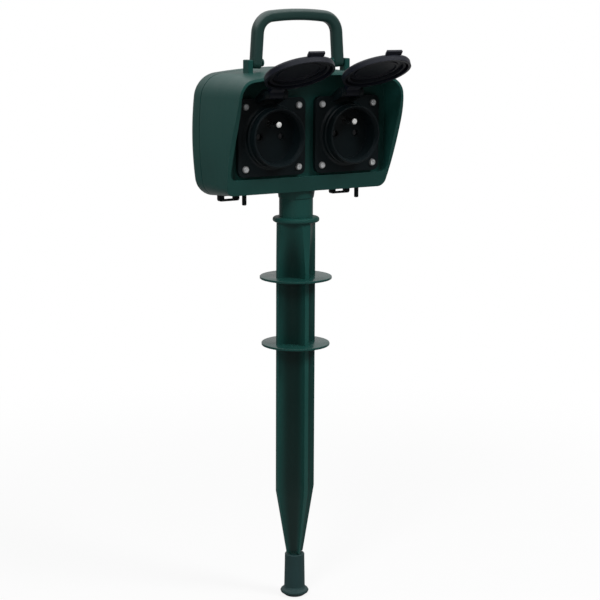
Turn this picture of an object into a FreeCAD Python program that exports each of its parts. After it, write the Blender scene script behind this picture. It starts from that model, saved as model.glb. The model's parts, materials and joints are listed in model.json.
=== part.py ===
import FreeCAD, Part
import math
import os

# Garden socket: a hooded twin outlet box on a fluted ground spike.
# Millimetres. +X is to the right seen from the front, +Y goes to the back, +Z is up.
# The origin is on the spike's axis at the ground line, under the lower disc.

os.makedirs("parts", exist_ok=True)
V = FreeCAD.Vector

# Fits and clearances
running_gap = 0.05
seat_gap = 0.02
free_gap = 0.3

# Outlet box, all heights from the ground line
socket_height = 168.4
socket_spacing = 68.3
housing_half_width = 75.4
side_bow_radius = 260.0
crown_radius = 440.0
back_top = 51.0
front_top = 48.6
back_bottom = 48.8
bottom_rise_per_mm = 0.0963
top_corner_back = 21.0
top_corner_front = 14.5
bottom_corner_back = 17.0
bottom_corner_front = 1.5
back_face_y = 37.0
seam_y = 20.0
front_limit_y = -44.0
back_edge_radius = 8.0
housing_wall = 2.6
hood_wall = 2.2
panel_face_y = -16.0
panel_thickness = 3.5
seal_thickness = 1.0
seal_outer_inset = 0.6
smallest_corner = 0.8
lip_thickness = 1.6
lip_length = 4.0
lip_root = 3.0
cover_screw_sink = 4.0

# Front rim of the hood seen from the side: lowest point, foot, belly, top
rim_bottom_y = -16.6
rim_foot_y = -20.4
rim_foot_z = -33.0
rim_belly_y = -32.2
rim_belly_z = 3.0
rim_nose_y = -39.8
rim_nose_z = 32.0
rim_top_y = -35.6
hood_opening_bottom = -31.5
hood_opening_corner = 6.0

# Socket inserts
flange_size = 59.0
flange_corner = 5.0
flange_thickness = 3.3
flange_gasket_thickness = 1.2
screw_spacing = 47.0
screw_head_radius = 2.7
screw_head_height = 1.7
screw_shank_radius = 1.6
screw_length = 12.0
collar_radius = 23.8
collar_height = 12.0
collar_step_height = 5.0
collar_lip_radius = 22.6
mouth_radius = 21.3
mouth_depth = 3.0
cavity_radius = 19.75
recess_depth = 15.0
floor_thickness = 3.0
cup_radius = 22.0
contact_offset = 9.5
contact_hole_radius = 2.55
earth_pin_radius = 2.4
earth_pin_offset = 10.0
earth_pin_reach = 14.0
earth_shank_radius = 3.0
shutter_thickness = 2.4
shutter_travel = 5.4
shutter_rise = 5.5
shutter_drop = 4.5
shutter_window_radius = 2.75
carrier_length = 23.0
carrier_notch_inner = 6.0
carrier_notch_outer = 14.0
carrier_notch_height = 18.0
carrier_notch_start = 12.0
contact_wall = 1.2

# Lids and their hinges
hinge_drop = 10.0
hinge_height = 33.0
hinge_shift = -4.0
hinge_knuckle_width = 12.0
hinge_lug_width = 3.6
hinge_knuckle_radius = 3.6
hinge_pin_radius = 1.25
lid_radius = 26.5
lid_plate = 2.2
lid_skirt_depth = 3.5
lid_skirt_wall = 2.1
lid_front_offset = 6.5
lid_gasket_width = 3.0
lid_gasket_height = 2.0
lid_tab_width = 13.5
lid_tab_reach = 2.2
lid_open_angle = 115.0

# Handle
handle_y = -1.0
handle_half_width = 37.2
handle_lean = 4.0
handle_top = 91.4
handle_crown_radius = 220.0
handle_corner_radius = 13.5
handle_bar = 8.8
handle_bar_rounding = 2.6
handle_pivot_height = 55.2
handle_pin_radius = 1.9
ear_thickness = 4.2
ear_depth = 8.0
ear_rise = 2.4

# Neck, collar and spike
neck_radius = 13.35
neck_bore_radius = 6.0
neck_shank_radius = 8.4
neck_pad_height = 5.0
boss_radius = 13.9
boss_flare = 0.9
boss_drop = 50.0
neck_bottom = 65.2
spigot_radius = 8.0
spigot_length = 34.0
collar_ring_radius = 18.5
collar_ring_height = 4.0
locknut_height = 5.0
locknut_corner_radius = 12.0
spike_radius = 17.2
flute_root_radius = 11.2
crest_half_angle = 5.5
spike_top_radius = 16.2
spike_top_root = 13.4
spike_top_crest = 14.0
flute_runout_height = 36.0
taper_start = 119.6
taper_end = 174.5
taper_end_radius = 7.3
tip_radius = 5.4
tip_length = 24.0
disc_thickness = 1.8
upper_disc_radius = 28.7
lower_disc_radius = 27.3
disc_spacing = 53.8
cap_radius = 8.0
cap_flare_radius = 11.6
cap_length = 35.5
cap_flare_height = 7.5

# Cable gland in the back cover
gland_height = -24.0
gland_thread_radius = 8.0
gland_flange_radius = 11.5
gland_reach = 8.0
gland_nut_radius = 11.0
gland_nut_length = 13.0
gland_locknut_height = 3.0
gland_seal_radius = 6.6
gland_cable_radius = 4.4

# Fittings under the box
fitting_inset = 23.8
loop_y = 15.0
loop_width = 18.0
loop_depth = 3.6
loop_drop = 51.6
loop_bar = 1.5
loop_post = 4.5
peg_y = -8.0
peg_radius = 1.75
peg_drop = 52.4

# Back cover screws and terminal block
cover_screw_inset = 17.4
cover_screw_high = 31.0
cover_screw_low = -33.0
cover_boss_radius = 4.2
terminal_count = 3
terminal_pitch = 10.0
terminal_height = 16.0
terminal_depth = 11.0
terminal_bore_radius = 1.7
terminal_screw_radius = 1.3
terminal_groove = 1.4


def box(x0, x1, y0, y1, z0, z1):
    return Part.makeBox(x1 - x0, y1 - y0, z1 - z0, V(x0, y0, z0))


def rod(radius, start, end):
    axis = end.sub(start)
    return Part.makeCylinder(radius, axis.Length, start, axis)


def joined(pieces):
    whole = pieces[0]
    for piece in pieces[1:]:
        whole = whole.fuse(piece)
    return whole.removeSplitter()


def without(solid, tools):
    for tool in tools:
        solid = solid.cut(tool)
    return solid


def closed_face(edges):
    return Part.Face(Part.Wire(Part.__sortEdges__(edges)))


def polygon(points):
    return Part.Face(Part.makePolygon(points + [points[0]]))


def slab_along_x(points_yz, x0, x1):
    return polygon([V(x0, y, z) for y, z in points_yz]).extrude(V(x1 - x0, 0, 0))


def turned(points_rz):
    """A solid of revolution about the Z axis from radius and height pairs."""
    face = polygon([V(r, 0, z) for r, z in points_rz])
    return face.revolve(V(0, 0, 0), V(0, 0, 1), 360)


def rounded_plate(x0, x1, z0, z1, y0, y1, radius):
    plate = box(x0, x1, y0, y1, z0, z1)
    corners = [e for e in plate.Edges if abs(e.tangentAt(e.FirstParameter).y) > 0.9]
    return plate.makeFillet(radius, corners)


def solid_of(shape):
    return shape.Solids[0] if len(shape.Solids) == 1 else Part.makeCompound(shape.Solids)


nodes = {}


def keep(name, shape):
    nodes[name] = solid_of(shape)


# The box outline is bowed at the sides and crowned on top. It shrinks towards the front.


def top_at(y):
    slope = (back_top - front_top) / (back_face_y - front_limit_y)
    return socket_height + back_top - slope * (back_face_y - y)


def bottom_at(y):
    return socket_height - back_bottom + bottom_rise_per_mm * (back_face_y - y)


def corner_at(y, front, back):
    share = (y - front_limit_y) / (back_face_y - front_limit_y)
    return front + share * (back - front)


def meet(c0, r0, c1, r1, side, upper):
    """The crossing of two circles in the XZ plane that lies on the wanted side."""
    dx = c1[0] - c0[0]
    dz = c1[1] - c0[1]
    d = math.hypot(dx, dz)
    a = (r0 * r0 - r1 * r1 + d * d) / (2 * d)
    h = math.sqrt(r0 * r0 - a * a)
    mx = c0[0] + a * dx / d
    mz = c0[1] + a * dz / d
    found = [(mx - h * dz / d, mz + h * dx / d), (mx + h * dz / d, mz - h * dx / d)]
    return max(found, key=lambda p: side * p[0] + upper * p[1])


def outline(y, inset):
    """The box's cross-section at depth y, drawn inwards by the inset: eight tangent edges."""
    bow_centre = (housing_half_width - side_bow_radius, socket_height)
    bow = side_bow_radius - inset
    crown_centre = (0.0, top_at(y) - crown_radius)
    crown = crown_radius - inset
    high = corner_at(y, top_corner_front, top_corner_back) - inset
    low = max(corner_at(y, bottom_corner_front, bottom_corner_back) - inset, smallest_corner)
    floor = bottom_at(y) + inset
    low_centre_z = floor + low
    rise = low_centre_z - bow_centre[1]
    low_centre = (bow_centre[0] + math.sqrt((bow - low) ** 2 - rise ** 2), low_centre_z)
    high_centre = meet(bow_centre, bow - high, crown_centre, crown - high, 1, 1)

    def away(centre, corner, radius):
        dx = corner[0] - centre[0]
        dz = corner[1] - centre[1]
        d = math.hypot(dx, dz)
        return (centre[0] + dx / d * radius, centre[1] + dz / d * radius)

    side_low = away(bow_centre, low_centre, bow)
    side_high = away(bow_centre, high_centre, bow)
    crown_end = away(crown_centre, high_centre, crown)
    side_mid = (bow_centre[0] + bow, bow_centre[1])
    low_mid = away(low_centre, (low_centre[0] + 1, low_centre[1] - 1), low)
    high_mid = away(high_centre, (high_centre[0] + 1, high_centre[1] + 1), high)

    def at(point, mirror=1):
        return V(mirror * point[0], y, point[1])

    edges = [Part.LineSegment(V(-low_centre[0], y, floor), V(low_centre[0], y, floor)).toShape()]
    edges.append(Part.Arc(V(low_centre[0], y, floor), at(low_mid), at(side_low)).toShape())
    edges.append(Part.Arc(at(side_low), at(side_mid), at(side_high)).toShape())
    edges.append(Part.Arc(at(side_high), at(high_mid), at(crown_end)).toShape())
    edges.append(Part.Arc(at(crown_end), V(0, y, crown_centre[1] + crown), at(crown_end, -1)).toShape())
    edges.append(Part.Arc(at(crown_end, -1), at(high_mid, -1), at(side_high, -1)).toShape())
    edges.append(Part.Arc(at(side_high, -1), at(side_mid, -1), at(side_low, -1)).toShape())
    edges.append(Part.Arc(at(side_low, -1), at(low_mid, -1), V(-low_centre[0], y, floor)).toShape())
    return Part.Wire(edges)


def hull(y0, y1, inset):
    return Part.makeLoft([outline(y0, inset), outline(y1, inset)], True, True)


def ring_between(y0, y1, outer_inset, inner_inset):
    return hull(y0, y1, outer_inset).cut(hull(y0, y1, inner_inset))


socket_xs = {"left": -socket_spacing / 2, "right": socket_spacing / 2}
panel_back_y = panel_face_y + panel_thickness
flange_back_y = panel_face_y - flange_gasket_thickness
flange_face_y = flange_back_y - flange_thickness
collar_face_y = flange_face_y - collar_height
floor_face_y = collar_face_y + recess_depth
floor_back_y = floor_face_y + floor_thickness
pocket_back_y = floor_back_y + shutter_thickness + 2 * free_gap
carrier_back_y = pocket_back_y + carrier_length
hinge_y = flange_face_y - hinge_drop
hinge_z = socket_height + hinge_height
screw_places = [(dx * screw_spacing / 2, dz * screw_spacing / 2) for dx in (-1, 1) for dz in (-1, 1)]
fitting_x = housing_half_width - fitting_inset
cover_screw_x = housing_half_width - cover_screw_inset
cover_screw_places = [(sx * cover_screw_x, z) for sx in (-1, 1) for z in (cover_screw_high, cover_screw_low)]
handle_pivot_z = socket_height + handle_pivot_height
ear_inner_x = handle_half_width + handle_bar / 2 + free_gap
neck_boss_bottom = socket_height - boss_drop
pad_top = bottom_at(0) + housing_wall + 3.0
neck_shoulder = pad_top - neck_pad_height


def rim_cutter():
    """Everything in front of the hood's slanted rim."""
    z = socket_height
    points = [
        V(0, rim_bottom_y, bottom_at(rim_bottom_y) - 1.0),
        V(0, rim_foot_y, z + rim_foot_z),
        V(0, rim_belly_y, z + rim_belly_z),
        V(0, rim_nose_y, z + rim_nose_z),
        V(0, rim_top_y, z + back_top),
    ]
    curve = Part.BSplineCurve()
    curve.interpolate(points)
    far = 2 * front_limit_y
    corners = [points[0], V(0, far, points[0].z), V(0, far, points[-1].z), points[-1]]
    edges = [curve.toShape()]
    edges += [Part.LineSegment(a, b).toShape() for a, b in zip(corners, corners[1:])]
    face = closed_face(edges)
    reach = 2 * housing_half_width
    face.translate(V(-reach / 2, 0, 0))
    return face.extrude(V(reach, 0, 0))


def hood_opening():
    """The space in front of the panel: the outline drawn in by the wall, flat below."""
    space = hull(panel_face_y, front_limit_y - 5.0, hood_wall)
    sill = socket_height + hood_opening_bottom
    wide = housing_half_width - hood_wall - 1.6
    top = sill + 2 * back_top
    window = rounded_plate(-wide, wide, sill, top, front_limit_y - 6, panel_face_y, hood_opening_corner)
    return space.common(window)


def handle_ears():
    z1 = handle_pivot_z + ear_rise
    z0 = top_at(0) - housing_wall - 4.0
    ears = []
    for side in (-1, 1):
        x0 = side * ear_inner_x
        x1 = side * (ear_inner_x + ear_thickness)
        ear = box(min(x0, x1), max(x0, x1), handle_y - ear_depth / 2, handle_y + ear_depth / 2, z0, z1)
        top = [e for e in ear.Edges if e.BoundBox.ZMin > z1 - 0.01]
        ears.append(ear.makeFillet(0.8, top))
    return ears


def front_housing():
    shell = hull(seam_y - seal_thickness, front_limit_y, 0)
    shell = shell.cut(rim_cutter())
    shell = shell.cut(hood_opening())
    shell = shell.cut(hull(panel_back_y, seam_y, housing_wall))
    ears = joined(handle_ears()).cut(hull(panel_back_y, seam_y, housing_wall))
    boss_height = bottom_at(0) + 1.0 - neck_boss_bottom
    boss_foot = V(0, 0, neck_boss_bottom)
    pad_radius = boss_radius + boss_flare
    boss = Part.makeCone(boss_radius, pad_radius, boss_height, boss_foot, V(0, 0, 1))
    boss = boss.fuse(rod(pad_radius, V(0, 0, bottom_at(0) + 0.5), V(0, 0, pad_top)))
    screw_bosses = []
    for x, z in cover_screw_places:
        a = V(x, panel_back_y - 0.5, socket_height + z)
        b = V(x, seam_y - seal_thickness, socket_height + z)
        screw_bosses.append(rod(cover_boss_radius, a, b))
    shell = joined([shell] + list(ears.Solids) + [boss] + screw_bosses)
    below = V(0, 0, neck_boss_bottom - 1)
    holes = [rod(neck_radius + running_gap, below, V(0, 0, neck_shoulder + seat_gap))]
    holes.append(rod(neck_shank_radius + running_gap, boss_foot, V(0, 0, pad_top + 1)))
    pilot = screw_shank_radius + seat_gap
    for x, z in cover_screw_places:
        end = seam_y - seal_thickness - screw_length
        holes.append(rod(pilot, V(x, end, socket_height + z), V(x, seam_y, socket_height + z)))
    for cx in socket_xs.values():
        centre = V(cx, front_limit_y, socket_height)
        holes.append(rod(cup_radius + free_gap, centre, V(cx, 0, socket_height)))
        for dx, dz in screw_places:
            x = cx + dx
            z = socket_height + dz
            holes.append(rod(pilot, V(x, panel_face_y, z), V(x, panel_back_y + 1, z)))
    for side in (-1, 1):
        a = V(side * (ear_inner_x - 1), handle_y, handle_pivot_z)
        b = V(side * (ear_inner_x + ear_thickness - 1.0), handle_y, handle_pivot_z)
        holes.append(rod(handle_pin_radius + seat_gap, a, b))
        top = V(side * fitting_x, peg_y, bottom_at(peg_y) + housing_wall + 1)
        holes.append(rod(peg_radius - 0.4 + seat_gap, V(top.x, peg_y, bottom_at(peg_y) - 1), top))
    return without(shell, holes)


def rear_cover():
    outer = hull(seam_y, back_face_y, 0)
    rim = [e for e in outer.Edges if e.BoundBox.YMin > back_face_y - 0.01]
    outer = outer.makeFillet(back_edge_radius, rim)
    shell = outer.cut(hull(seam_y - 1, back_face_y - housing_wall, housing_wall))
    lip_gap = housing_wall + running_gap
    extra = [ring_between(seam_y - lip_length, seam_y + 0.5, lip_gap, lip_gap + lip_thickness)]
    extra.append(ring_between(seam_y, seam_y + lip_root, housing_wall - 0.3, lip_gap + lip_thickness))
    for x, z in cover_screw_places:
        start = V(x, seam_y - seal_thickness, socket_height + z)
        extra.append(rod(cover_boss_radius, start, V(x, back_face_y - 1, socket_height + z)))
    shell = joined([shell] + extra)
    holes = []
    for x, z in cover_screw_places:
        z += socket_height
        holes.append(rod(screw_shank_radius + running_gap, V(x, 0, z), V(x, back_face_y + 1, z)))
        sink = V(x, back_face_y - cover_screw_sink, z)
        holes.append(rod(screw_head_radius + free_gap, sink, V(x, back_face_y + 1, z)))
    z = socket_height + gland_height
    holes.append(rod(gland_thread_radius + running_gap, V(0, seam_y, z), V(0, back_face_y + 1, z)))
    return without(shell, holes)


def pan_screw(x, y, z, outward):
    """A pan head screw with its head's underside at y, driven against the outward direction."""
    head = turned([
        (0, 0), (screw_head_radius, 0), (screw_head_radius, screw_head_height * 0.55),
        (screw_head_radius * 0.78, screw_head_height), (0, screw_head_height),
    ])
    slot = box(-0.45, 0.45, -4, 4, screw_head_height - 0.8, screw_head_height + 1)
    cross = box(-4, 4, -0.45, 0.45, screw_head_height - 0.8, screw_head_height + 1)
    cross = cross.fuse(slot).common(rod(1.7, V(0, 0, 0), V(0, 0, 5)))
    head = head.cut(cross)
    shank = rod(screw_shank_radius, V(0, 0, -screw_length + 0.5), V(0, 0, 0.2))
    screw = head.fuse(shank)
    screw.rotate(V(0, 0, 0), V(1, 0, 0), 90 if outward < 0 else -90)
    screw.translate(V(x, y, z))
    return screw


def flange_blank(cx, half, y0, y1):
    """A square plate with rounded corners, centred on one socket."""
    z = socket_height
    return rounded_plate(cx - half, cx + half, z - half, z + half, y0, y1, flange_corner)


def socket_flange(cx):
    z = socket_height
    plate = flange_blank(cx, flange_size / 2, flange_face_y, flange_back_y)
    low = -flange_thickness / 2
    lip = collar_lip_radius
    step = collar_step_height
    collar = turned([
        (0, low), (collar_radius + 1.4, low), (collar_radius + 1.4, 0), (collar_radius, 1.4),
        (collar_radius, step - 0.6), (collar_radius - 0.6, step), (lip + 0.2, step),
        (lip, collar_height - 0.6), (lip - 0.4, collar_height), (0, collar_height),
    ])
    collar = about_socket_axis(collar, cx, flange_face_y)
    mouth = turned([
        (0, 1), (mouth_radius + 0.3, 1), (mouth_radius, 0), (cavity_radius, -mouth_depth), (0, -mouth_depth),
    ])
    cup = rod(cup_radius, V(cx, flange_back_y, z), V(cx, floor_back_y, z))
    body = joined([plate, collar, cup] + hinge_lugs(cx))
    holes = [rod(cavity_radius, V(cx, collar_face_y - 1, z), V(cx, floor_face_y, z))]
    holes.append(about_socket_axis(mouth, cx, collar_face_y))
    for side in (-1, 1):
        x = cx + side * contact_offset
        holes.append(rod(contact_hole_radius, V(x, floor_face_y - 1, z), V(x, floor_back_y + 1, z)))
    pin_z = z + earth_pin_offset
    bore = earth_shank_radius + seat_gap
    holes.append(rod(bore, V(cx, floor_face_y - 1, pin_z), V(cx, floor_back_y + 1, pin_z)))
    return without(body, holes + flange_screw_holes(cx))


def flange_screw_holes(cx):
    holes = []
    for dx, dz in screw_places:
        x = cx + dx
        z = socket_height + dz
        holes.append(rod(screw_shank_radius + running_gap, V(x, flange_face_y - 1, z), V(x, 0, z)))
    return holes


def knuckle_span(cx):
    middle = cx + hinge_shift
    return middle - hinge_knuckle_width / 2, middle + hinge_knuckle_width / 2


def hinge_lugs(cx):
    """Two lugs that stand out from the flange above the collar and hold the hinge pin."""
    x0, x1 = knuckle_span(cx)
    reach = free_gap + hinge_lug_width
    spans = [(x0 - reach, x0 - free_gap), (x1 + free_gap, x1 + reach)]
    top = socket_height + flange_size / 2
    lugs = []
    for a, b in spans:
        web = slab_along_x([
            (flange_back_y - 0.5, top - 5.5), (flange_back_y - 0.5, top),
            (hinge_y + 0.5, hinge_z + hinge_knuckle_radius),
            (hinge_y - 0.5, hinge_z - hinge_knuckle_radius),
        ], a, b)
        eye = rod(hinge_knuckle_radius, V(a, hinge_y, hinge_z), V(b, hinge_y, hinge_z))
        bore = rod(hinge_pin_radius + seat_gap, V(a - 1, hinge_y, hinge_z), V(b + 1, hinge_y, hinge_z))
        lugs.append(web.fuse(eye).cut(bore))
    return lugs


def flange_gasket(cx):
    z = socket_height
    sheet = flange_blank(cx, flange_size / 2 - 1.0, flange_back_y, panel_face_y)
    opening = rod(cup_radius + free_gap, V(cx, flange_back_y - 1, z), V(cx, 0, z))
    return without(sheet, [opening] + flange_screw_holes(cx))


def contact_carrier(cx):
    z = socket_height
    body = rod(cup_radius - 0.8, V(cx, floor_back_y, z), V(cx, carrier_back_y, z))
    holes = [rod(cup_radius - 3.0, V(cx, floor_back_y - 1, z), V(cx, pocket_back_y, z))]
    for side in (-1, 1):
        x = cx + side * contact_offset
        bore = earth_pin_radius + contact_wall + seat_gap
        holes.append(rod(bore, V(x, floor_back_y, z), V(x, carrier_back_y + 1, z)))
    pin_z = z + earth_pin_offset
    bore = earth_shank_radius + seat_gap
    holes.append(rod(bore, V(cx, floor_back_y, pin_z), V(cx, carrier_back_y + 1, pin_z)))
    for side in (-1, 1):
        near = cx + side * (contact_offset + carrier_notch_inner)
        far = cx + side * (contact_offset + carrier_notch_outer)
        x0, x1 = sorted((near, far))
        half = carrier_notch_height / 2
        start = pocket_back_y + carrier_notch_start
        holes.append(box(x0, x1, start, carrier_back_y + 1, z - half, z + half))
    return without(body, holes)


def shutter(cx):
    """A sliding plate shown shut: its two windows line up with the holes after the travel."""
    z = socket_height
    y0 = floor_back_y + free_gap
    y1 = y0 + shutter_thickness
    reach = contact_offset + contact_hole_radius + 0.4
    plate = rounded_plate(cx - reach, cx + reach + 3.0, z - shutter_drop, z + shutter_rise, y0, y1, 2.0)
    holes = []
    for side in (-1, 1):
        x = cx + side * contact_offset + shutter_travel
        holes.append(rod(shutter_window_radius, V(x, y0 - 1, z), V(x, y1 + 1, z)))
    return without(plate, holes)


def contact_sleeve(cx, side):
    z = socket_height
    x = cx + side * contact_offset
    y0 = pocket_back_y + 0.8
    y1 = carrier_back_y - 2.0
    inner = earth_pin_radius + running_gap
    sleeve = rod(earth_pin_radius + contact_wall, V(x, y0, z), V(x, y1, z))
    sleeve = sleeve.cut(rod(inner, V(x, y0 - 1, z), V(x, y1 - 3, z)))
    slit = box(x - 0.4, x + 0.4, y0 - 1, y0 + 12, z - 5, z + 5)
    tab = box(x - 2.4, x + 2.4, y1 - 0.5, carrier_back_y + 5.0, z - 0.6, z + 0.6)
    return sleeve.cut(slit).fuse(tab)


def earth_pin(cx):
    z = socket_height + earth_pin_offset
    tip_y = floor_face_y - earth_pin_reach
    pin = rod(earth_pin_radius, V(cx, tip_y, z), V(cx, floor_face_y, z))
    tip = [e for e in pin.Edges if e.BoundBox.YMax < tip_y + 0.01]
    pin = pin.makeFillet(1.7, tip)
    end_y = carrier_back_y + 3.0
    shank = rod(earth_shank_radius, V(cx, floor_face_y, z), V(cx, end_y, z))
    half = earth_pin_radius
    return joined([pin, shank, box(cx - half, cx + half, end_y - 1.0, end_y + 3.0, z - 0.6, z + 0.6)])


def opened(shape):
    """Turn a piece from the shut place to the open one that the photograph shows."""
    shape = shape.copy()
    shape.rotate(V(0, hinge_y, hinge_z), V(1, 0, 0), -lid_open_angle)
    return shape


def about_socket_axis(shape, cx, y):
    """Stand a turned solid on the socket's axis, with its height running to the front."""
    shape.rotate(V(0, 0, 0), V(1, 0, 0), 90)
    shape.translate(V(cx, y, socket_height))
    return shape


def lid(cx):
    face_y = hinge_y - lid_front_offset
    depth = lid_plate + lid_skirt_depth
    out = lid_radius
    bowl = turned([
        (0, 0.5), (out - 7.0, 0.5), (out - 5.5, 0.0), (out - 2.0, -0.25), (out - 0.6, -0.9),
        (out, -2.0), (out, -depth), (out - lid_skirt_wall, -depth),
        (out - lid_skirt_wall, -lid_plate), (cavity_radius - 2.5, -lid_plate),
        (cavity_radius - 3.0, -lid_plate - 1.0), (cavity_radius - 4.2, -lid_plate - 1.0),
        (cavity_radius - 4.7, -lid_plate), (0, -lid_plate),
    ])
    bowl = about_socket_axis(bowl, cx, face_y)
    x0, x1 = knuckle_span(cx)
    rim_z = socket_height + lid_radius
    arm = slab_along_x([
        (face_y + 0.6, rim_z - 4.0), (face_y + 0.9, rim_z - 0.5), (hinge_y - 2.2, hinge_z + 2.6),
        (hinge_y + 1.6, hinge_z), (hinge_y - 0.9, rim_z - 0.4), (face_y + depth - 0.6, rim_z - 1.0),
        (face_y + depth - 0.6, rim_z - 2.0),
    ], x0, x1)
    inside = V(cx, face_y + lid_plate, socket_height)
    arm = arm.cut(rod(lid_radius - 1.0, inside, V(cx, hinge_y + 9, socket_height)))
    eye = rod(hinge_knuckle_radius, V(x0, hinge_y, hinge_z), V(x1, hinge_y, hinge_z))
    foot = socket_height - lid_radius
    tab = slab_along_x([
        (face_y + 0.8, foot + 2.2), (face_y + 1.4, foot + 0.3), (face_y - 0.2, foot - lid_tab_reach),
        (face_y - 1.8, foot - lid_tab_reach + 0.5), (face_y - 0.3, foot + 1.4),
    ], cx - lid_tab_width / 2, cx + lid_tab_width / 2)
    bore = rod(hinge_pin_radius + running_gap, V(x0 - 1, hinge_y, hinge_z), V(x1 + 1, hinge_y, hinge_z))
    return opened(joined([bowl, arm, eye, tab]).cut(bore))


def lid_gasket(cx):
    y = hinge_y - lid_front_offset + lid_plate
    middle = (cavity_radius + collar_radius) / 2
    inner = middle - lid_gasket_width / 2
    outer = middle + lid_gasket_width / 2
    low = -lid_gasket_height
    ring = turned([(inner, 0), (outer, 0), (outer - 0.4, low), (inner + 0.4, low)])
    return opened(about_socket_axis(ring, cx, y))


def hinge_pin(cx):
    x0, x1 = knuckle_span(cx)
    reach = free_gap + hinge_lug_width - 0.4
    return rod(hinge_pin_radius, V(x0 - reach, hinge_y, hinge_z), V(x1 + reach, hinge_y, hinge_z))


def handle():
    """A bow of rounded square bar: two leaning legs, two bends and a crowned top."""
    lean = math.radians(handle_lean)
    foot = (handle_half_width, handle_pivot_z)
    along = (-math.sin(lean), math.cos(lean))
    inward = (-math.cos(lean), -math.sin(lean))
    crown_centre_z = socket_height + handle_top - handle_crown_radius
    base = (foot[0] + inward[0] * handle_corner_radius, foot[1] + inward[1] * handle_corner_radius)
    reach = handle_crown_radius - handle_corner_radius
    dz = base[1] - crown_centre_z
    half_b = base[0] * along[0] + dz * along[1]
    rest = base[0] ** 2 + dz ** 2 - reach ** 2
    t = -half_b + math.sqrt(half_b ** 2 - rest)
    centre = (base[0] + t * along[0], base[1] + t * along[1])
    bend_start = (centre[0] - inward[0] * handle_corner_radius, centre[1] - inward[1] * handle_corner_radius)
    d = math.hypot(centre[0], centre[1] - crown_centre_z)
    grow = handle_crown_radius / d
    bend_end = (centre[0] * grow, crown_centre_z + (centre[1] - crown_centre_z) * grow)
    a0 = math.atan2(bend_start[1] - centre[1], bend_start[0] - centre[0])
    a1 = math.atan2(bend_end[1] - centre[1], bend_end[0] - centre[0])
    mid_angle = (a0 + a1) / 2
    mid_x = centre[0] + handle_corner_radius * math.cos(mid_angle)
    mid = (mid_x, centre[1] + handle_corner_radius * math.sin(mid_angle))

    def at(point, mirror=1):
        return V(mirror * point[0], handle_y, point[1])

    top = V(0, handle_y, socket_height + handle_top)
    path = Part.Wire([
        Part.LineSegment(at(foot), at(bend_start)).toShape(),
        Part.Arc(at(bend_start), at(mid), at(bend_end)).toShape(),
        Part.Arc(at(bend_end), top, at(bend_end, -1)).toShape(),
        Part.Arc(at(bend_end, -1), at(mid, -1), at(bend_start, -1)).toShape(),
        Part.LineSegment(at(bend_start, -1), at(foot, -1)).toShape(),
    ])
    half = handle_bar / 2
    r = handle_bar_rounding
    section = Part.makePlane(handle_bar, handle_bar, V(-half, -half, 0))
    bar = section.extrude(V(0, 0, 1))
    bar = bar.makeFillet(r, [e for e in bar.Edges if abs(e.tangentAt(e.FirstParameter).z) > 0.9])
    wire = [f for f in bar.Faces if f.BoundBox.ZMax < 0.01][0].OuterWire
    wire.rotate(V(0, 0, 0), V(0, 1, 0), -handle_lean)
    wire.translate(at(foot))
    bow = path.makePipeShell([wire], True, False)
    pieces = [bow]
    for side in (-1, 1):
        x0 = side * (handle_half_width - half)
        x1 = side * (handle_half_width + half)
        eye = rod(half, V(x0, handle_y, handle_pivot_z), V(x1, handle_y, handle_pivot_z))
        pieces.append(eye)
    bow = joined(pieces)
    bores = []
    for side in (-1, 1):
        near = V(side * (handle_half_width - handle_bar), handle_y, handle_pivot_z)
        far = V(side * (handle_half_width + handle_bar), handle_y, handle_pivot_z)
        bores.append(rod(handle_pin_radius + running_gap, near, far))
    return without(bow, bores)


def handle_pin(side):
    head = V(side * (handle_half_width - handle_bar / 2 - free_gap), handle_y, handle_pivot_z)
    end = V(side * (ear_inner_x + ear_thickness - 1.1), handle_y, handle_pivot_z)
    pin = rod(handle_pin_radius, head, end)
    cap = rod(handle_pin_radius + 1.0, head, V(head.x - side * 1.2, handle_y, handle_pivot_z))
    return pin.fuse(cap)


def neck_tube():
    top = pad_top + locknut_height + 2.0
    bottom = socket_height - neck_bottom
    return turned([
        (neck_bore_radius, top), (neck_shank_radius, top), (neck_shank_radius, neck_shoulder),
        (neck_radius, neck_shoulder), (neck_radius, bottom), (spigot_radius, bottom),
        (spigot_radius, bottom - collar_ring_height - spigot_length + 1.0),
        (spigot_radius - 1.0, bottom - collar_ring_height - spigot_length),
        (neck_bore_radius, bottom - collar_ring_height - spigot_length),
    ])


def hex_nut(corner_radius, bore, z, height):
    corners = []
    for i in range(6):
        a = i * math.pi / 3
        corners.append(V(corner_radius * math.cos(a), corner_radius * math.sin(a), z))
    nut = polygon(corners).extrude(V(0, 0, height))
    return nut.cut(rod(bore, V(0, 0, z - 1), V(0, 0, z + height + 1)))


def neck_locknut():
    return hex_nut(locknut_corner_radius, neck_shank_radius + seat_gap, pad_top, locknut_height)


def collar_ring():
    top = socket_height - neck_bottom
    low = top - collar_ring_height
    out = collar_ring_radius
    return turned([
        (spigot_radius + running_gap, low), (out - 1.2, low), (out - 0.3, low + 0.6),
        (out, low + 1.6), (out - 0.2, top - 1.0), (out - 1.0, top - 0.3),
        (neck_radius + 1.0, top), (spigot_radius + running_gap, top),
    ])


def fluted_wire(radius, root, crest_angle, z):
    """Four crests joined by four scooped hollows. The crests point along X and Y."""
    crest = math.radians(crest_angle)
    edges = []

    def on(r, angle):
        return V(r * math.cos(angle), r * math.sin(angle), z)

    for i in range(4):
        a = i * math.pi / 2
        edges.append(Part.Arc(on(radius, a - crest), on(radius, a), on(radius, a + crest)).toShape())
        middle = a + math.pi / 4
        end = a + math.pi / 2 - crest
        edges.append(Part.Arc(on(radius, a + crest), on(root, middle), on(radius, end)).toShape())
    return Part.Wire(edges)


spike_top = socket_height - neck_bottom - collar_ring_height
flute_full = spike_top - flute_runout_height


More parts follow.
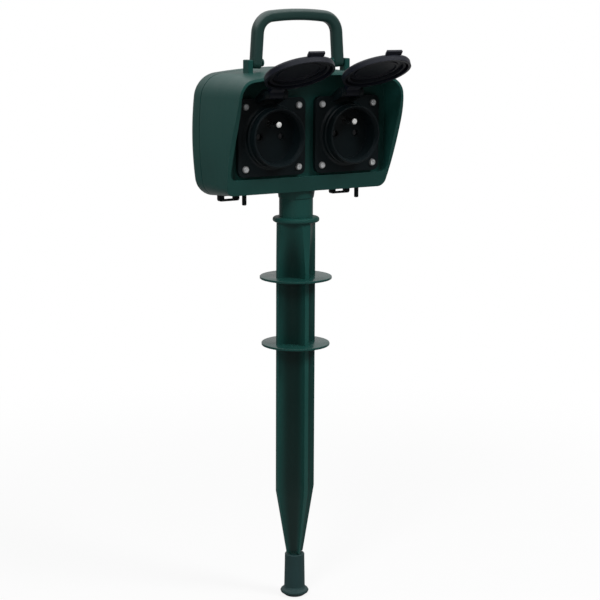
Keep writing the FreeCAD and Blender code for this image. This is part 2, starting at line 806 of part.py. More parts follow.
def fluted_bar(gap, z0, z1):
    wire = fluted_wire(spike_radius + gap, flute_root_radius + gap, crest_half_angle, z0)
    return Part.Face(wire).extrude(V(0, 0, z1 - z0))


def spike_shaft():
    stem = fluted_bar(0, -taper_start, flute_full)
    full = fluted_wire(spike_radius, flute_root_radius, crest_half_angle, flute_full)
    crown = fluted_wire(spike_top_radius, spike_top_root, spike_top_crest, spike_top)
    head = Part.makeLoft([full, crown], True, True)
    ratio = taper_end_radius / spike_radius
    shoulder = fluted_wire(spike_radius, flute_root_radius, crest_half_angle, -taper_start)
    point = fluted_wire(taper_end_radius, flute_root_radius * ratio, crest_half_angle, -taper_end)
    taper = Part.makeLoft([shoulder, point], True, True)
    tip = turned([
        (0, -taper_end - tip_length), (tip_radius - 3.4, -taper_end - tip_length),
        (tip_radius - 0.6, -taper_end - tip_length + 7.0), (tip_radius - 0.6, -taper_end), (0, -taper_end),
    ])
    body = joined([stem, taper, head, tip])
    floor = V(0, 0, spike_top - spigot_length - 2)
    return body.cut(rod(spigot_radius + running_gap, floor, V(0, 0, spike_top + 1)))


def spike_disc(radius, z):
    """A thin plate with a fluted hole, pushed on along the shaft."""
    plate = turned([
        (0, z), (radius - 0.5, z), (radius, z + 0.5), (radius, z + disc_thickness - 0.5),
        (radius - 0.5, z + disc_thickness), (0, z + disc_thickness),
    ])
    return plate.cut(fluted_bar(seat_gap, z - 1, z + disc_thickness + 1))


def tip_cap():
    top = -taper_end - 0.8
    low = top - cap_length
    bore = tip_radius - 0.6 + running_gap
    r = cap_radius
    flare = cap_flare_radius
    return turned([
        (bore, top), (r - 0.5, top), (r, top - 0.6), (r + 0.5, low + cap_flare_height),
        (r + 1.3, low + cap_flare_height - 1.4), (flare - 0.5, low + 4.6), (flare, low + 3.6),
        (flare - 0.5, low + 2.4), (flare - 3.6, low), (0, low), (0, -taper_end - tip_length - 1.0),
        (bore, -taper_end - tip_length - 1.0),
    ])


def gland_axis(shape):
    """Lay a turned solid along the gland's axis with its height running to the back."""
    shape.rotate(V(0, 0, 0), V(1, 0, 0), -90)
    shape.translate(V(0, back_face_y, socket_height + gland_height))
    return shape


def gland_body():
    inner = gland_seal_radius + running_gap
    return gland_axis(turned([
        (gland_cable_radius + 0.8, -housing_wall - 6.5), (gland_thread_radius, -housing_wall - 6.5),
        (gland_thread_radius, 0), (gland_flange_radius, 0), (gland_flange_radius, 3.0),
        (gland_thread_radius, 3.6), (gland_thread_radius, gland_reach), (inner, gland_reach), (inner, 1.0),
        (gland_cable_radius + 0.8, 1.0),
    ]))


def gland_seal():
    return gland_axis(turned([
        (gland_cable_radius, 1.0), (gland_seal_radius, 1.0), (gland_seal_radius, gland_reach + 1.5),
        (gland_cable_radius, gland_reach + 1.5),
    ]))


def gland_nut():
    start = 3.6 + free_gap
    end = start + gland_nut_length
    inner = gland_thread_radius + running_gap
    mouth = gland_cable_radius + 1.0
    out = gland_nut_radius
    blank = turned([
        (inner, start), (out, start), (out, end - 4.0), (out - 2.6, end),
        (mouth, end), (mouth, gland_reach + 2.0), (inner, gland_reach + 2.0),
    ])
    grips = []
    for i in range(8):
        a = i * math.pi / 4
        centre = V((gland_nut_radius + 0.9) * math.cos(a), (gland_nut_radius + 0.9) * math.sin(a), start - 1)
        grips.append(rod(1.7, centre, V(centre.x, centre.y, end - 4.5)))
    return gland_axis(without(blank, grips))


def gland_locknut():
    z = -housing_wall - gland_locknut_height
    return gland_axis(hex_nut(gland_nut_radius, gland_thread_radius + seat_gap, z, gland_locknut_height))


def cable_loop(side):
    """A small staple under the back of the box: two posts and a cross bar."""
    x = side * fitting_x
    half = loop_width / 2
    low = socket_height - loop_drop
    y0 = loop_y + seat_gap
    y1 = y0 + loop_depth
    top_front = bottom_at(y0)
    top_back = bottom_at(y1)
    block = slab_along_x([(y0, low), (y0, top_front), (y1, top_back), (y1, low)], x - half, x + half)
    long_edges = [e for e in block.Edges if e.BoundBox.ZMax < low + 0.01 and e.BoundBox.XLength < 0.01]
    block = block.makeFillet(1.8, long_edges)
    gap = box(x - half + loop_post, x + half - loop_post, y0 - 1, y1 + 1, low + loop_bar, top_back - 0.6)
    return block.cut(gap)


def peg(side):
    x = side * fitting_x
    low = socket_height - peg_drop
    stem = rod(peg_radius, V(x, peg_y, low), V(x, peg_y, bottom_at(peg_y) + 0.25))
    end = [e for e in stem.Edges if e.BoundBox.ZMax < low + 0.01]
    stem = stem.makeFillet(0.8, end)
    stem = stem.cut(hull(seam_y, front_limit_y, 0))
    under = bottom_at(peg_y)
    plug = rod(peg_radius - 0.4, V(x, peg_y, under - 1), V(x, peg_y, under + housing_wall))
    return stem.fuse(plug)


def terminal_block():
    half = terminal_count * terminal_pitch / 2
    tall = terminal_height / 2
    y1 = back_face_y - housing_wall
    y0 = y1 - terminal_depth
    middle_y = y0 + terminal_depth / 2
    z = socket_height + 12.0
    block = box(-half, half, y0, y1, z - tall, z + tall)
    holes = []
    for i in range(terminal_count):
        x = -half + terminal_pitch * (i + 0.5)
        holes.append(rod(terminal_bore_radius, V(x, middle_y, z - tall - 1), V(x, middle_y, z + tall + 1)))
        for dz in (-tall / 2, tall / 2):
            holes.append(rod(terminal_screw_radius, V(x, y0 - 1, z + dz), V(x, middle_y, z + dz)))
    for i in range(1, terminal_count):
        x0 = -half + terminal_pitch * i - terminal_groove / 2
        holes.append(box(x0, x0 + terminal_groove, y0 - 1, y0 + 3, z - tall - 1, z + tall + 1))
    return without(block, holes)


keep("front_housing", front_housing())
keep("rear_cover", rear_cover())
keep("housing_seal", ring_between(seam_y - seal_thickness, seam_y, seal_outer_inset, housing_wall))
keep("cover_screws", Part.makeCompound([
    pan_screw(x, back_face_y - cover_screw_sink, socket_height + z, 1) for x, z in cover_screw_places
]))
keep("neck_tube", neck_tube())
keep("neck_locknut", neck_locknut())
keep("collar_ring", collar_ring())
keep("spike_shaft", spike_shaft())
keep("upper_disc", spike_disc(upper_disc_radius, disc_spacing))
keep("lower_disc", spike_disc(lower_disc_radius, 0.0))
keep("tip_cap", tip_cap())
keep("handle", handle())
keep("gland_body", gland_body())
keep("gland_seal", gland_seal())
keep("gland_nut", gland_nut())
keep("gland_locknut", gland_locknut())
keep("terminal_block", terminal_block())
for name, sign in (("left", -1), ("right", 1)):
    keep("handle_pin_" + name, handle_pin(sign))
    keep("cable_loop_" + name, cable_loop(sign))
    keep("peg_" + name, peg(sign))
for name, centre_x in socket_xs.items():
    keep("socket_flange_" + name, socket_flange(centre_x))
    keep("flange_gasket_" + name, flange_gasket(centre_x))
    keep("flange_screws_" + name, Part.makeCompound([
        pan_screw(centre_x + dx, flange_face_y, socket_height + dz, -1) for dx, dz in screw_places
    ]))
    keep("contact_carrier_" + name, contact_carrier(centre_x))
    keep("shutter_" + name, shutter(centre_x))
    keep("live_contact_" + name, contact_sleeve(centre_x, 1))
    keep("neutral_contact_" + name, contact_sleeve(centre_x, -1))
    keep("earth_pin_" + name, earth_pin(centre_x))
    keep("hinge_pin_" + name, hinge_pin(centre_x))
    keep("lid_" + name, lid(centre_x))
    keep("lid_gasket_" + name, lid_gasket(centre_x))

for name, shape in nodes.items():
    shape.exportStep("parts/" + name + ".step")
    b = shape.BoundBox
    solids = len(shape.Solids)
    print(f"{name:24s} solids {solids} volume {shape.Volume:10.1f} valid {shape.isValid()} "
          f"x {b.XMin:.1f}..{b.XMax:.1f} y {b.YMin:.1f}..{b.YMax:.1f} z {b.ZMin:.1f}..{b.ZMax:.1f}")
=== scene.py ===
import json
import math

import bmesh
import bpy
from mathutils import Matrix, Vector


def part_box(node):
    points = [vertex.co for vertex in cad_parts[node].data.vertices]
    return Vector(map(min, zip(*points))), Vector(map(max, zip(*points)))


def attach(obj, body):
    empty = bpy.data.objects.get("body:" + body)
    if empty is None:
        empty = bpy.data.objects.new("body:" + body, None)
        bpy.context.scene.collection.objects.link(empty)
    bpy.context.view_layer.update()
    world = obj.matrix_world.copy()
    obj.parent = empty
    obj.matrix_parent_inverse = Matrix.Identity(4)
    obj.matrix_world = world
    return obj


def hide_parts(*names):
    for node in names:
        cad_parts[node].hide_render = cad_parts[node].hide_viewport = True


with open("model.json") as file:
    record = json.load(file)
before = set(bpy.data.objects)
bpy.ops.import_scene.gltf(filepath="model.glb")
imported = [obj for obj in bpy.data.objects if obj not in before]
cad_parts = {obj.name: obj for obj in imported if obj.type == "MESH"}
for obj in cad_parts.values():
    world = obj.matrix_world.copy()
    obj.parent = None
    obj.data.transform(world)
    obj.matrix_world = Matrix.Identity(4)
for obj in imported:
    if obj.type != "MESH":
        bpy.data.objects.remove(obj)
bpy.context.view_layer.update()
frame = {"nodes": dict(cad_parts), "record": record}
MM = 0.001

# The spike in mm and degrees: heights are over the ground line, reaches and roots from the axis
RIB_REACH = 17.2
RIB_ANGLE = 6.0
FLUTE_ROOT = 8.2
FLUTE_FULL = 56.5
TOP_REACH = 16.2
TOP_ANGLE = 13.0
TOP_ROOT = 12.6
SPIKE_TOP = 99.2
TAPER_TOP = -119.6
TAPER_END = -174.5
POINT_REACH = 7.3
TIP_RADIUS = 4.8
TIP_NOSE = -191.5
TIP_END = -198.5
TIP_FLAT = 2.0
HOLE_GAP = 0.1
RIM_ROUND = 0.35

# The handle in mm, with its middle plane at HANDLE_Y
HANDLE_Y = -1.0
HANDLE_HALF = 37.2
HANDLE_LEAN = math.radians(4.0)
HANDLE_BEND = 13.5
HANDLE_CROWN = 220.0
HANDLE_TOP = 259.8
HANDLE_PIVOT = 223.6
BAR_HALF = 4.4
BAR_ROUND = 3.0
FOOT_TURN = math.radians(84)
FOOT_TAPER = 0.12

# Small metal parts in mm: a flange screw's head and the spread of its painted highlight and shade, and how
# far behind an earth pin's tip its painted glint and painted shade change
HEAD_RADIUS = 2.7
HEAD_HIGHLIGHT_REACH = 1.2
HEAD_SHADE_REACH = 2.6
TIP_GLINT_FULL = 0.5
TIP_GLINT_GONE = 1.5
SHANK_SHADE_START = 13.90
SHANK_SHADE_FULL = 13.98

# How many steps each round form takes
CORNER_STEPS = 6
LEG_STEPS = 6
BEND_STEPS = 14
CROWN_STEPS = 14
FOOT_STEPS = 8
RIB_STEPS = 4
FLUTE_STEPS = 16
TAPER_STEPS = 8
RUN_OUT_STEPS = 16
RIM_STEPS = 3
SHARP_ANGLE = math.radians(35)


# Shader nodes
def put(tree, socket, value):
    """Links a socket to another one, or sets its own value."""
    if isinstance(value, bpy.types.NodeSocket):
        tree.links.new(value, socket)
    else:
        socket.default_value = value


def add(tree, kind, inputs=None, **settings):
    """A new node with its settings made, and its inputs set or linked by name or number."""
    node = tree.nodes.new("ShaderNode" + kind)
    for key, value in settings.items():
        setattr(node, key, value)
    for key, value in (inputs or {}).items():
        put(tree, node.inputs[key], value)
    return node


def emptied(owner):
    """The node tree of a material or world, with nothing in it."""
    owner.use_nodes = True
    owner.node_tree.nodes.clear()
    return owner.node_tree


def calc(tree, kind, first, second=0.0):
    return add(tree, "Math", {0: first, 1: second}, operation=kind).outputs["Value"]


def vector_calc(tree, kind, inputs):
    return add(tree, "VectorMath", inputs, operation=kind).outputs


def linear(tree, value, start, end, low, high, curve="LINEAR"):
    """From low at the start of a value's range to high at its end."""
    inputs = {"Value": value, "From Min": start, "From Max": end, "To Min": low, "To Max": high}
    return add(tree, "MapRange", inputs, interpolation_type=curve).outputs["Result"]


def smooth(tree, value, start, end, low, high):
    return linear(tree, value, start, end, low, high, "SMOOTHSTEP")


def noise(tree, at, per_metre, detail=2.0, rough=0.5, stretch=None):
    if stretch:
        at = add(tree, "Mapping", {"Vector": at, "Scale": stretch}).outputs["Vector"]
    inputs = {"Vector": at, "Scale": per_metre, "Detail": detail, "Roughness": rough}
    return add(tree, "TexNoise", inputs).outputs["Fac"]


def over_noise(tree, value, low, high):
    """From low to high over the values that a noise mostly has."""
    return linear(tree, value, *NOISE_RANGE, low, high)


def ramp(tree, value, first, second):
    """One colour to another over the values that a noise mostly has."""
    node = add(tree, "ValToRGB", {"Fac": value})
    for element, place, colour in zip(node.color_ramp.elements, NOISE_RANGE, (first, second)):
        element.position = place
        element.color = (*colour, 1)
    return node.outputs["Color"]


def mixed(tree, share, first, second):
    """Two colours mixed by a share. In its colour mode the node's sockets are 0, 6 and 7, and 2 comes out."""
    return add(tree, "Mix", {0: share, 6: first, 7: second}, data_type="RGBA").outputs[2]


def bump(tree, height, distance, strength, below=None):
    inputs = {"Height": height, "Distance": distance, "Strength": strength}
    if below is not None:
        inputs["Normal"] = below
    return add(tree, "Bump", inputs).outputs["Normal"]


def soft_edge(tree, radius):
    return add(tree, "Bevel", {"Radius": radius}, samples=4).outputs["Normal"]


def edge_wear(tree, radius):
    """How far the softened normal turns from the true one: nought on a flat, more along an edge."""
    true = add(tree, "NewGeometry").outputs["Normal"]
    dot = vector_calc(tree, "DOT_PRODUCT", {0: soft_edge(tree, 2 * radius), 1: true})
    return calc(tree, "SUBTRACT", 1.0, dot["Value"])


def shader(name):
    """A new material, with its tree, its main shader and the object coordinates of its points."""
    mat = bpy.data.materials.new(name)
    tree = emptied(mat)
    bsdf = add(tree, "BsdfPrincipled")
    add(tree, "OutputMaterial", {"Surface": bsdf.outputs["BSDF"]})
    return mat, tree, bsdf, add(tree, "TexCoord").outputs["Object"]


# Plastic: scales are per metre, and the other values are shares
NOISE_RANGE = (0.3, 0.7)
DRIFT_SCALE = 22.0
RUB_SCALE = 60.0
RUB_STRETCH = (1.0, 1.0, 0.18)
RUB_MARKS = (0.62, 0.8)
RUB_FADES = 0.35
RUB_GLOSS = (-0.03, 0.06)
EDGE_TURN = (0.02, 0.30)
EDGE_FADES = 0.5
PALE_SHARE = 1.35
PALE_LIFT = 0.002
WAVE_SCALE = 45.0
PIT_SCALE = 420.0
PIT_STRENGTH = 0.35
GRAIN_SCALE = 2400.0
GRAIN_STRENGTH = 0.6


def moulded(name, dark, light, gloss, grain, edge, ior=1.46, wave=0.0):
    """Plastic with its grain, edge and wave in mm: tone drift, rub marks, faded soft edges, fine grain."""
    mat, tree, bsdf, at = shader(name)
    drift = noise(tree, at, DRIFT_SCALE, detail=3.0)
    rub = noise(tree, at, RUB_SCALE, detail=6.0, rough=0.7, stretch=RUB_STRETCH)
    pale = tuple(channel * PALE_SHARE + PALE_LIFT for channel in light)
    faded = ramp(tree, rub, light, pale)
    marks = linear(tree, rub, *RUB_MARKS, 0.0, RUB_FADES)
    worn = mixed(tree, marks, ramp(tree, drift, dark, light), faded)
    ridge = linear(tree, edge_wear(tree, edge * MM), *EDGE_TURN, 0.0, EDGE_FADES)
    colour = mixed(tree, calc(tree, "MULTIPLY", ridge, rub), worn, faded)
    put(tree, bsdf.inputs["Base Color"], colour)
    spread = calc(tree, "ADD", over_noise(tree, drift, *gloss), over_noise(tree, rub, *RUB_GLOSS))
    put(tree, bsdf.inputs["Roughness"], spread)
    normal = soft_edge(tree, edge * MM)
    if wave:
        normal = bump(tree, noise(tree, at, WAVE_SCALE, detail=1.0), wave * MM, 1.0, normal)
    normal = bump(tree, noise(tree, at, PIT_SCALE), 2 * grain * MM, PIT_STRENGTH, normal)
    normal = bump(tree, noise(tree, at, GRAIN_SCALE), grain * MM, GRAIN_STRENGTH, normal)
    put(tree, bsdf.inputs["Normal"], normal)
    put(tree, bsdf.inputs["IOR"], ior)
    return mat


BRUSH_SCALE = 900.0
BRUSH_DEPTH = 0.01
BRUSH_STRENGTH = 0.5


def metal(name, dark, light, gloss, brush, shine):
    """Metal or plating with streaks drawn out along the axis where brush is smallest."""
    mat, tree, bsdf, at = shader(name)
    streak = noise(tree, at, BRUSH_SCALE, detail=4.0, rough=0.6, stretch=brush)
    put(tree, bsdf.inputs["Base Color"], ramp(tree, streak, dark, light))
    put(tree, bsdf.inputs["Roughness"], over_noise(tree, streak, *gloss))
    put(tree, bsdf.inputs["Normal"], bump(tree, streak, BRUSH_DEPTH * MM, BRUSH_STRENGTH))
    put(tree, bsdf.inputs["Metallic"], shine)
    return mat


GREEN = ((0.0076, 0.0500, 0.0430), (0.0092, 0.0570, 0.0490))
green = moulded("green_moulding", *GREEN, (0.42, 0.50), grain=0.02, edge=0.6)
green_spike = moulded("green_spike", *GREEN, (0.34, 0.42), grain=0.02, edge=0.6)
green_smooth = moulded("green_smooth", (0.0076, 0.0500, 0.0430), (0.0090, 0.0560, 0.0480),
                       (0.20, 0.28), grain=0.01, edge=0.3, wave=1.2)
green_cap = moulded("green_cap", (0.0110, 0.0340, 0.0345), (0.0130, 0.0400, 0.0410),
                    (0.46, 0.56), grain=0.03, edge=0.5)
green_grip = moulded("green_grip", (0.0100, 0.0330, 0.0295), (0.0120, 0.0385, 0.0340),
                     (0.34, 0.44), grain=0.01, edge=1.0, ior=1.85)
black = moulded("black_moulding", (0.0026, 0.0060, 0.0072), (0.0036, 0.0074, 0.0090),
                (0.42, 0.52), grain=0.02, edge=0.4)
lid_black = moulded("lid_moulding", (0.0048, 0.0064, 0.0120), (0.0064, 0.0082, 0.0148),
                    (0.38, 0.48), grain=0.03, edge=0.8)
lid_seal = moulded("lid_seal", (0.0056, 0.0076, 0.0120), (0.0072, 0.0094, 0.0150),
                   (0.50, 0.62), grain=0.03, edge=0.3)
rubber = moulded("soft_rubber", (0.0030, 0.0034, 0.0040), (0.0044, 0.0048, 0.0054),
                 (0.66, 0.80), grain=0.03, edge=0.3)
insulator = moulded("grey_insulator", (0.120, 0.124, 0.130), (0.150, 0.154, 0.160),
                    (0.45, 0.55), grain=0.01, edge=0.3)

ZINC = {"dark": (0.66, 0.67, 0.68), "light": (0.86, 0.87, 0.87), "gloss": (0.26, 0.38),
        "brush": (1.0, 1.0, 0.3), "shine": 0.35}
zinc = metal("zinc_plate", **ZINC)
screw_zinc = metal("screw_zinc", **ZINC)
nickel = metal("nickel_pin", (0.80, 0.80, 0.79), (0.92, 0.92, 0.90),
               (0.20, 0.30), brush=(1.0, 0.1, 1.0), shine=1.0)
brass = metal("contact_brass", (0.66, 0.45, 0.18), (0.80, 0.58, 0.27),
              (0.22, 0.34), brush=(1.0, 0.2, 1.0), shine=1.0)
dark_steel = metal("dark_steel", (0.030, 0.032, 0.036), (0.060, 0.062, 0.066),
                   (0.36, 0.48), brush=(0.2, 1.0, 1.0), shine=0.8)


# Painted light and shade on single parts
def main_shader(mat):
    return next(node for node in mat.node_tree.nodes if node.type == "BSDF_PRINCIPLED")


def own_place(tree):
    """The object coordinates of a point, as one vector and as X, Y and Z."""
    at = add(tree, "TexCoord").outputs["Object"]
    return at, add(tree, "SeparateXYZ", {"Vector": at}).outputs


def tone(mat, factor):
    """Multiplies a material's colour by a factor that varies over it."""
    tree = mat.node_tree
    socket = main_shader(mat).inputs["Base Color"]
    plain = socket.links[0].from_socket
    put(tree, socket, vector_calc(tree, "SCALE", {0: plain, "Scale": factor})["Vector"])


# Earth pin: a painted glint on the tip, and painted shade on the shank where it enters the floor
TIP_GLINT_METALLIC = 0.2
SHANK_PAINTED_SHADE = 0.006


def pin_tip_glint_and_shank_shade(mat, node):
    """A pin whose round tip is made pale and less metallic as a painted glint, and whose shank in the floor
    is darkened to near black as painted shade.
    """
    tree = mat.node_tree
    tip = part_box(node)[0].y
    _, axis = own_place(tree)
    shank = smooth(tree, axis["Y"], tip + SHANK_SHADE_START * MM, tip + SHANK_SHADE_FULL * MM, 1.0, 0.0)
    shine = smooth(tree, axis["Y"], tip + TIP_GLINT_FULL * MM, tip + TIP_GLINT_GONE * MM, TIP_GLINT_METALLIC, 1.0)
    put(tree, main_shader(mat).inputs["Metallic"], calc(tree, "MULTIPLY", shine, shank))
    tone(mat, smooth(tree, shank, 0.0, 1.0, SHANK_PAINTED_SHADE, 1.0))


# Painted shade deep in the spike's flutes and a painted highlight along its rib crests
FLUTE_SHADE_SPAN = (0.50, 0.92)
FLUTE_PAINTED_SHADE = 0.36
CREST_HIGHLIGHT_SPAN = (0.95, 1.0)
CREST_PAINTED_HIGHLIGHT = 0.25


def painted_flute_shade_and_crest_highlight(mat):
    """Painted shade in the flutes and a painted highlight on the rib crests: darker the deeper a point lies
    under the reach of the ribs there, lighter at the crests.
    """
    tree = mat.node_tree
    at, axis = own_place(tree)
    flat = vector_calc(tree, "MULTIPLY", {0: at, 1: (1, 1, 0)})["Vector"]
    length = vector_calc(tree, "LENGTH", {0: flat})["Value"]
    reach = linear(tree, axis["Z"], TAPER_END * MM, TAPER_TOP * MM, POINT_REACH * MM, RIB_REACH * MM)
    share = calc(tree, "DIVIDE", length, reach)
    deep = smooth(tree, share, *FLUTE_SHADE_SPAN, FLUTE_PAINTED_SHADE, 1.0)
    crest = smooth(tree, share, *CREST_HIGHLIGHT_SPAN, 0.0, CREST_PAINTED_HIGHLIGHT)
    tone(mat, calc(tree, "ADD", deep, crest))


def fold(tree, value, middle, reach):
    """The distance from the nearer of two marks, one reach either side of the middle."""
    from_middle = calc(tree, "ABSOLUTE", calc(tree, "SUBTRACT", value, middle))
    return calc(tree, "SUBTRACT", from_middle, reach)


def square(tree, value):
    return calc(tree, "MULTIPLY", value, value)


# Painted highlight in the middle of each screw head, painted shade toward its rim
HEAD_HIGHLIGHT_AND_SHADE = (1.15, 0.30)


def painted_head_highlight_and_shade(mat):
    """Screw heads of both flanges: a painted highlight in the middle, and painted shade that grows darker
    toward the rim.
    """
    tree = mat.node_tree
    _, axis = own_place(tree)
    low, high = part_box("flange_screws_right")
    middle = (low + high) / 2
    reach = (high - low) / 2 - Vector((HEAD_RADIUS, 0, HEAD_RADIUS)) * MM
    side = fold(tree, fold(tree, axis["X"], 0.0, middle.x), 0.0, reach.x)
    rise = fold(tree, axis["Z"], middle.z, reach.z)
    far = calc(tree, "SQRT", calc(tree, "ADD", square(tree, side), square(tree, rise)))
    tone(mat, smooth(tree, far, HEAD_HIGHLIGHT_REACH * MM, HEAD_SHADE_REACH * MM, *HEAD_HIGHLIGHT_AND_SHADE))


painted_head_highlight_and_shade(screw_zinc)
pin_tip_glint_and_shank_shade(nickel, "earth_pin_left")
painted_flute_shade_and_crest_highlight(green_spike)


# A material for every CAD node: by its slot, or its own
finish = {"green_plastic": green, "black_plastic": black, "rubber": rubber, "bright_steel": zinc,
          "contact_brass": brass, "white_plastic": insulator}
slots = {part["node"]: part["material_slot"] for part in frame["record"]["subparts"]}
special = {"tip_cap": green_cap}
for side in ("left", "right"):
    special["lid_" + side] = lid_black
    special["lid_gasket_" + side] = lid_seal
    special["hinge_pin_" + side] = dark_steel
    special["earth_pin_" + side] = nickel
    special["flange_screws_" + side] = screw_zinc


def dress(obj, mat):
    obj.data.materials.clear()
    obj.data.materials.append(mat)
    for face in obj.data.polygons:
        face.material_index = 0


for name, obj in frame["nodes"].items():
    dress(obj, special.get(name, finish[slots[name]]))


# Pieces made here, each in place of a CAD node
def skin(name, rings, wrap=False):
    """A closed mesh through rings of equal length, with an end face each, or wrapped to the first ring."""
    mesh = bpy.data.meshes.new(name)
    build = bmesh.new()
    loops = [[build.verts.new(point) for point in ring] for ring in rings]
    follow = loops[1:] + loops[:1] if wrap else loops[1:]
    for low, high in zip(loops, follow):
        for i, vert in enumerate(low):
            j = (i + 1) % len(low)
            build.faces.new((vert, low[j], high[j], high[i]))
    if not wrap:
        build.faces.new(loops[0][::-1])
        build.faces.new(loops[-1])
    bmesh.ops.recalc_face_normals(build, faces=build.faces)
    for face in build.faces:
        face.smooth = True
    build.to_mesh(mesh)
    build.free()
    mesh.set_sharp_from_angle(angle=SHARP_ANGLE)
    obj = bpy.data.objects.new(name, mesh)
    bpy.context.scene.collection.objects.link(obj)
    return obj


def stand_in(piece, mat, node, body):
    """Gives a green piece its material, hides the CAD node it stands in for, and hangs it on the empty of the
    body it rides on.
    """
    piece.data.materials.append(mat)
    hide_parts(node)
    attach(piece, body)


def arc_points(centre, radius, start, end, count):
    """Points along an arc, each with its angle."""
    steps = [start + (end - start) * i / count for i in range(count + 1)]
    return [(centre[0] + radius * math.cos(a), centre[1] + radius * math.sin(a), a) for a in steps]


# The carrying handle: one bar with soft corners that ends in a round foot at each pivot
def handle_path():
    """Points of the right half from foot to crown: x, z and the angle of the outward normal."""
    foot = Vector((HANDLE_HALF, HANDLE_PIVOT))
    outward = Vector((math.cos(HANDLE_LEAN), math.sin(HANDLE_LEAN)))
    along = Vector((-outward.y, outward.x))
    crown = Vector((0.0, HANDLE_TOP - HANDLE_CROWN))
    base = foot - outward * HANDLE_BEND
    gap = base - crown
    half_b = gap.dot(along)
    rest = gap.length_squared - (HANDLE_CROWN - HANDLE_BEND) ** 2
    centre = base + along * (math.sqrt(half_b ** 2 - rest) - half_b)
    meet = centre - crown
    turn_end = math.atan2(meet.y, meet.x)
    bend = arc_points(centre, HANDLE_BEND, HANDLE_LEAN, turn_end, BEND_STEPS)
    top = arc_points(crown, HANDLE_CROWN, turn_end, math.pi / 2, CROWN_STEPS)
    leg_end = Vector(bend[0][:2])
    leg = [(*foot.lerp(leg_end, i / LEG_STEPS), HANDLE_LEAN) for i in range(LEG_STEPS)]
    return leg + bend + top[1:]


def bar_section():
    """A square with round corners, as pairs across and along Y."""
    inner = BAR_HALF - BAR_ROUND
    points = []
    for quarter in range(4):
        start = quarter * math.pi / 2
        cx = inner * math.copysign(1, math.cos(start + math.pi / 4))
        cy = inner * math.copysign(1, math.sin(start + math.pi / 4))
        corner = arc_points((cx, cy), BAR_ROUND, start, start + math.pi / 2, CORNER_STEPS)
        points += [(x, y) for x, y, _ in corner]
    return points


def bar_ring(x, z, angle, slim, width):
    """The bar's section at a point of its path, slim along Y and narrower across by these shares."""
    across = Vector((math.cos(angle), 0, math.sin(angle)))
    centre = Vector((x, HANDLE_Y, z))
    return [(centre + across * u * width + Vector((0, v * slim, 0))) * MM for u, v in bar_section()]


def carry_handle():
    half = handle_path()
    x, z, angle = half[0]
    foot = []
    for i in range(FOOT_STEPS, 0, -1):
        turn = i / FOOT_STEPS * FOOT_TURN
        drop = BAR_HALF * math.sin(turn)
        slim = math.cos(turn)
        width = 1 - FOOT_TAPER * (1 - slim)
        foot.append((x + drop * math.sin(angle), z - drop * math.cos(angle), angle, slim, width))
    right_side = foot + [(*point, 1.0, 1.0) for point in half]
    left_side = [(-px, pz, math.pi - pa, slim, width) for px, pz, pa, slim, width in right_side[-2::-1]]
    rings = [bar_ring(*values) for values in right_side + left_side]
    stand_in(skin("carry_handle", rings), green_grip, "handle", "handle")


# The spike: four ribs with deep round flutes that run out below the collar
def flute_points(reach, root, angle):
    """One hollow in the first quarter, an arc through the rib's edge, the root and the next rib."""
    edge = Vector((reach * math.cos(angle), reach * math.sin(angle)))
    c = (reach ** 2 - root ** 2) / (2 * (edge.x + edge.y - math.sqrt(2) * root))
    start = math.atan2(edge.y - c, edge.x - c)
    end = -math.pi - math.pi / 2 - start
    radius = (edge - Vector((c, c))).length
    return [(x, y) for x, y, _ in arc_points((c, c), radius, start, end, FLUTE_STEPS)]


def spike_ring(z, reach, root, degrees):
    """The spike's section at a height: each rib spans twice the angle, and a flute follows it."""
    angle = math.radians(degrees)
    rib = [(x, y) for x, y, _ in arc_points((0, 0), reach, -angle, angle, RIB_STEPS)][:-1]
    quarter = [Vector(point) for point in rib + flute_points(reach, root, angle)[:-1]]
    ring = []
    for i in range(4):
        spin = Matrix.Rotation(i * math.pi / 2, 2)
        ring += [((spin @ v).x * MM, (spin @ v).y * MM, z * MM) for v in quarter]
    return ring


def round_ring(like, z, radius):
    """A circle with its points at the angles of another ring."""
    turns = [math.atan2(y, x) for x, y, _ in like]
    return [(radius * math.cos(a) * MM, radius * math.sin(a) * MM, z * MM) for a in turns]


def between(start, end, share):
    return start + (end - start) * share


def ease(t):
    return t * t * (3 - 2 * t)


def ground_spike():
    """From the tip's nose in the cap, up the taper and the straight part, to the flutes' run-out."""
    point = spike_ring(TAPER_END, POINT_REACH, FLUTE_ROOT * POINT_REACH / RIB_REACH, RIB_ANGLE)
    rings = [round_ring(point, TIP_END, TIP_FLAT), round_ring(point, TIP_NOSE, TIP_RADIUS)]
    rings += [round_ring(point, TAPER_END, TIP_RADIUS), point]
    for i in range(1, TAPER_STEPS + 1):
        t = i / TAPER_STEPS
        reach = between(POINT_REACH, RIB_REACH, t)
        z = between(TAPER_END, TAPER_TOP, t)
        rings.append(spike_ring(z, reach, FLUTE_ROOT * reach / RIB_REACH, RIB_ANGLE))
    for i in range(RUN_OUT_STEPS + 1):
        t = ease(i / RUN_OUT_STEPS)
        z = between(FLUTE_FULL, SPIKE_TOP, i / RUN_OUT_STEPS)
        reach = between(RIB_REACH, TOP_REACH, t)
        rings.append(spike_ring(z, reach, between(FLUTE_ROOT, TOP_ROOT, t), between(RIB_ANGLE, TOP_ANGLE, t)))
    stand_in(skin("ground_spike", rings), green_spike, "spike_shaft", "stand")


